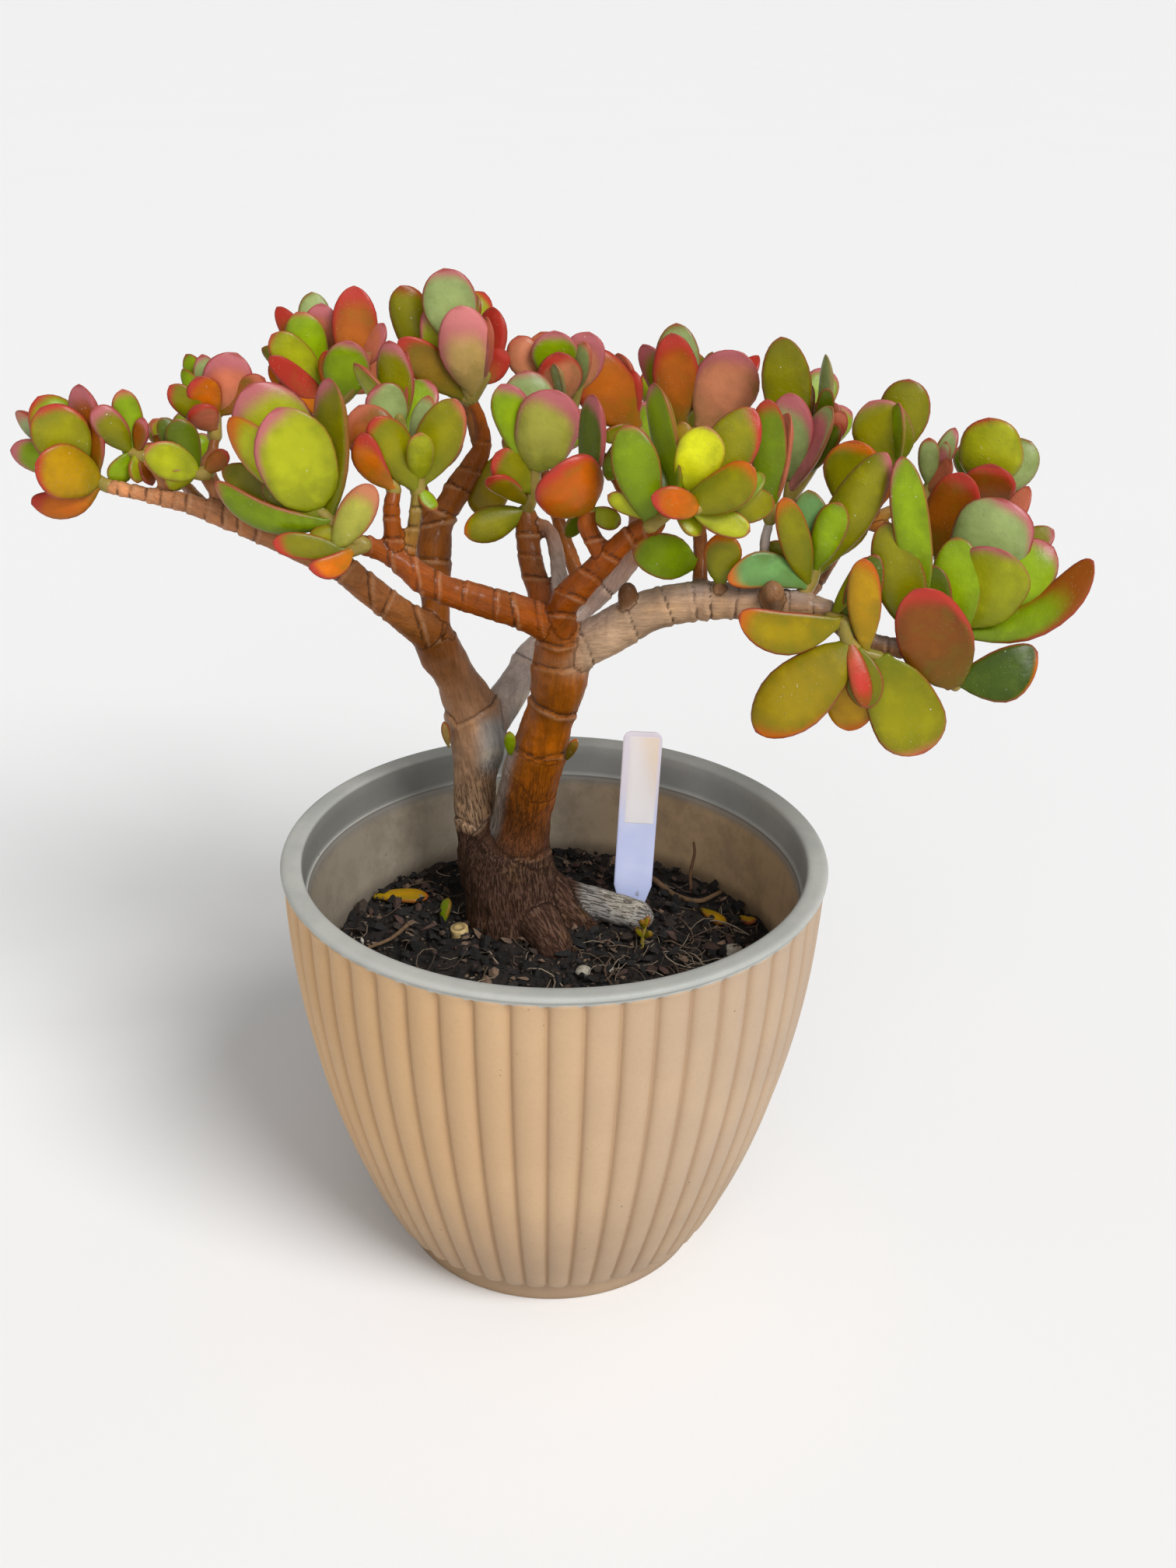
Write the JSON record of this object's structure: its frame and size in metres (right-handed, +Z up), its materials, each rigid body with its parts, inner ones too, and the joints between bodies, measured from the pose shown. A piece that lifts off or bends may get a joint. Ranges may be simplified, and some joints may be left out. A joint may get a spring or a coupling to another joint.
{
  "type": "potted jade bonsai",
  "caption": "Jade plant grown as a bonsai: thick forked trunk, spreading limbs and fleshy red-edged leaves, in a round fluted pot with soil and a blank label.",
  "frame": {"origin": "middle of the pot's flat underside, on the surface it stands on", "axes": "+Z up, +X to the right of the plant's front along the crown's long way, +Y away from its front"},
  "size_m": [0.3875, 0.2572, 0.3767],
  "materials": {
    "pot": "satin, moulded",
    "soil": "dry crumbly bark compost",
    "bark": "rough, ringed bark",
    "leaf": "satin, waxy",
    "label": "smooth",
    "stone": "rough",
    "dead_wood": "dry"
  },
  "bodies": {
    "root": {"pot": "pot", "soil": "soil", "trunk_and_branches": "bark", "label_stake": "label", "cut_stub": "dead_wood", "stone_front": "stone", "stone_right": "stone", "sprout": "leaf", "dropped_leaf": "leaf", "dropped_leaf_small": "leaf", "dropped_leaf_right": "leaf", "dropped_leaf_right_end": "leaf", "bud_trunk_front": "leaf", "bud_trunk_left": "leaf", "bud_trunk_right": "leaf", "leaf_hanging": "leaf", "leaf_right_branch": "leaf", "leaf_right_inner": "leaf", "leaf_right_rear": "leaf", "shoot_centre": "leaf", "shoot_centre_front": "leaf", "shoot_centre_rear": "leaf", "shoot_centre_right": "leaf", "shoot_far_right": "leaf", "shoot_far_right_upper": "leaf", "shoot_left_end": "leaf", "shoot_left_end_upper": "leaf", "shoot_left_front": "leaf", "shoot_left_inner": "leaf", "shoot_left_inner_tall": "leaf", "shoot_left_knuckle": "leaf", "shoot_left_middle": "leaf", "shoot_left_rear": "leaf", "shoot_left_twig": "leaf", "shoot_right_branch": "leaf", "shoot_right_dead_twig": "leaf", "shoot_right_end": "leaf", "shoot_right_front": "leaf", "shoot_right_high": "leaf", "shoot_right_rear": "leaf", "shoot_right_top": "leaf", "shoot_right_upper": "leaf", "shoot_top": "leaf", "shoot_rear_centre": "leaf", "shoot_rear_far_left": "leaf", "shoot_rear_far_right": "leaf", "shoot_rear_left": "leaf", "shoot_rear_left_inner": "leaf", "shoot_rear_right": "leaf", "shoot_rear_right_top": "leaf", "shoot_rear_top": "leaf"}
  },
  "joints": []
}
